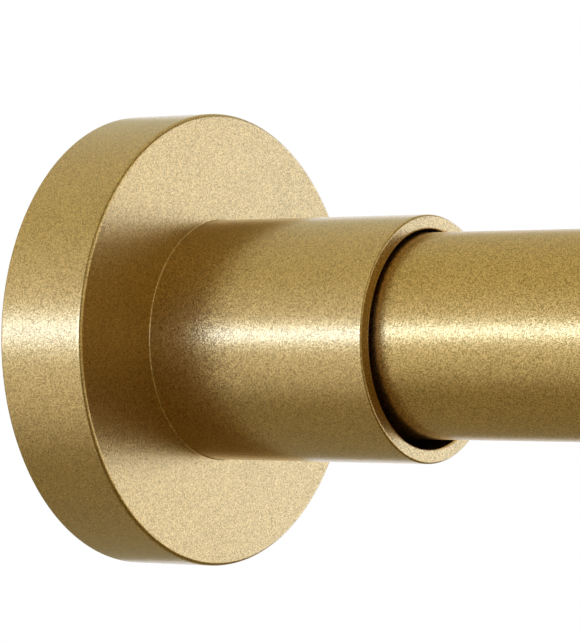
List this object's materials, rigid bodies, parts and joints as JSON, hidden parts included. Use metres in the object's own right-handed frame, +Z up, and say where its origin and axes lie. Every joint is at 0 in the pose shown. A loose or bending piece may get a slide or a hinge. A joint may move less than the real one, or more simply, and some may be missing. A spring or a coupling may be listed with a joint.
{
  "type": "shower curtain rod",
  "caption": "Telescopic shower curtain rod held by its own thrust: a thin tube in a thicker one, a sprung lock and screw inside, and swivelling padded feet under loose disc-and-sleeve covers.",
  "frame": {"origin": "centre of the left wall pad's face, on the axis of the tubes", "axes": "+X along the rod from the left wall to the right wall, +Z up"},
  "size_m": [1.0922, 0.0578, 0.0577],
  "materials": {
    "cover_gold": "satin champagne gold coat on moulded plastic",
    "tube_gold": "satin champagne gold coat on steel tube",
    "collar_gold": "satin champagne gold moulding",
    "pad_rubber": "matt black rubber",
    "foot_plastic": "matt black moulding",
    "lock_nylon": "natural nylon moulding",
    "guide_nylon": "white nylon moulding",
    "zinc_steel": "zinc-plated steel",
    "spring_steel": "drawn spring steel"
  },
  "bodies": {
    "left_foot": {"left_wall_pad": "pad_rubber", "left_foot": "foot_plastic"},
    "left_cover": {"left_cover": "cover_gold"},
    "outer_tube": {"outer_tube": "tube_gold", "left_tube_plug": "foot_plastic", "left_foot_screw": "zinc_steel", "left_foot_washer": "zinc_steel", "tube_collar": "collar_gold"},
    "lock": {"lock_collet": "lock_nylon", "lock_cone": "lock_nylon", "lock_seat_washer": "zinc_steel", "tension_spring": "spring_steel"},
    "tension_screw": {"tension_screw": "zinc_steel", "screw_seat_washer": "zinc_steel", "tail_nut": "zinc_steel", "tail_washer": "zinc_steel"},
    "guide_ring": {"guide_ring": "guide_nylon"},
    "inner_tube": {"inner_tube": "tube_gold", "nut_plug": "lock_nylon", "right_tube_plug": "foot_plastic", "right_foot_screw": "zinc_steel", "right_foot_washer": "zinc_steel"},
    "right_foot": {"right_wall_pad": "pad_rubber", "right_foot": "foot_plastic"},
    "right_cover": {"right_cover": "cover_gold", "right_reducer_ring": "collar_gold"}
  },
  "joints": [
    {"name": "left_cover_slide", "type": "slide", "parent": "left_foot", "child": "left_cover", "axis": [1, 0, 0], "range_m": [0, 0.04]},
    {"name": "tube_turn", "type": "hinge", "parent": "left_foot", "child": "outer_tube", "pos_m": [0, 0, 0], "axis": [-1, 0, 0], "range_deg": [0, 2880]},
    {"name": "telescope", "type": "slide", "parent": "outer_tube", "child": "lock", "axis": [1, 0, 0], "range_m": [0, 0.7046]},
    {"name": "spring_push", "type": "slide", "parent": "lock", "child": "tension_screw", "axis": [1, 0, 0], "range_m": [-0.012, 0], "stiffness_N_per_m": 6400, "springref_m": 0.002, "deforming": ["tension_spring"]},
    {"name": "screw_out", "type": "slide", "parent": "tension_screw", "child": "guide_ring", "axis": [1, 0, 0], "range_m": [0, 0.032]},
    {"name": "nut_turn", "type": "hinge", "parent": "guide_ring", "child": "inner_tube", "pos_m": [0.136, 0, 0], "axis": [1, 0, 0], "range_deg": [0, 2880]},
    {"name": "right_foot_turn", "type": "hinge", "parent": "inner_tube", "child": "right_foot", "pos_m": [1.0922, 0, 0], "axis": [1, 0, 0], "continuous": true},
    {"name": "right_cover_slide", "type": "slide", "parent": "inner_tube", "child": "right_cover", "axis": [-1, 0, 0], "range_m": [0, 0.04]}
  ],
  "couplings": [
    {"joint": "screw_out", "follows": "tube_turn", "m_per_rad": 0.00063662},
    {"joint": "nut_turn", "follows": "tube_turn", "ratio": 1}
  ]
}
